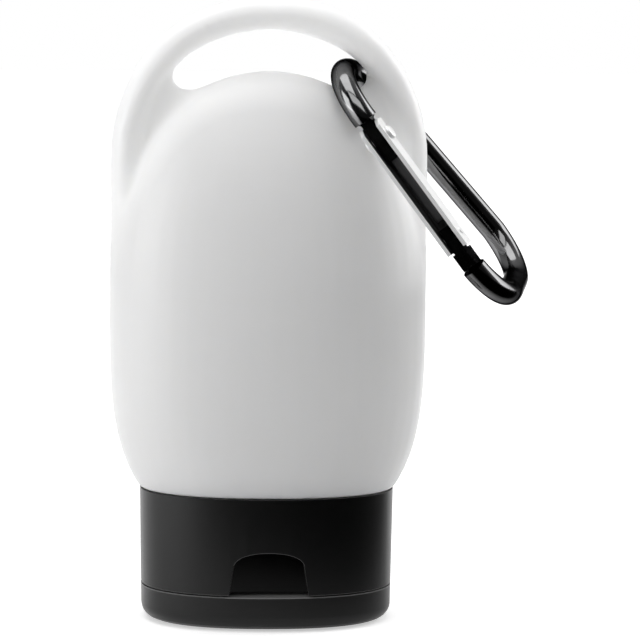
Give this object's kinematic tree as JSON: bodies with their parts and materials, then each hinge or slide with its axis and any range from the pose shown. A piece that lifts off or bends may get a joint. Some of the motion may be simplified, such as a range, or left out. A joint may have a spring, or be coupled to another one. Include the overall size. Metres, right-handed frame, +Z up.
{
  "type": "sunscreen bottle",
  "caption": "Small carry-along lotion bottle, standing on its flip-lid closure, with an arched carrying handle that a spring-gate carabiner hangs in",
  "frame": {"origin": "middle of the lid's flat underside, on the ground and on the bottle's axis", "axes": "+Z up, +X to the right seen from the front, -Y the front with the thumb recess"},
  "size_m": [0.068, 0.03, 0.0998],
  "materials": {
    "bottle_white": "satin",
    "closure_black": "matte",
    "carabiner_black": "gloss",
    "gate_silver": "polished",
    "spring_steel": "satin"
  },
  "bodies": {
    "bottle": {"bottle": "bottle_white", "closure_base": "closure_black", "lid_hinge_film": "closure_black"},
    "lid": {"flip_lid": "closure_black"},
    "carabiner": {"carabiner_frame": "carabiner_black", "gate_rivet": "gate_silver", "gate_spring": "spring_steel"},
    "gate": {"carabiner_gate": "gate_silver", "gate_latch_pin": "gate_silver"}
  },
  "joints": [
    {"name": "lid_hinge", "type": "hinge", "parent": "bottle", "child": "lid", "pos_m": [0, 0.0132, 0.0056], "axis": [1, 0, 0], "range_deg": [0, 150], "deforming": ["lid_hinge_film"]},
    {"name": "carabiner_swing", "type": "hinge", "parent": "bottle", "child": "carabiner", "pos_m": [0.01185, 0, 0.08805], "axis": [0, -1, 0], "range_deg": [0, 140]},
    {"name": "gate_hinge", "type": "hinge", "parent": "carabiner", "child": "gate", "pos_m": [0.01708, -0.00812, 0.07775], "axis": [0.7391, -0.2932, 0.6064], "range_deg": [0, 22], "stiffness_Nm_per_rad": 0.002, "springref_deg": -28.65, "deforming": ["gate_spring"]}
  ]
}
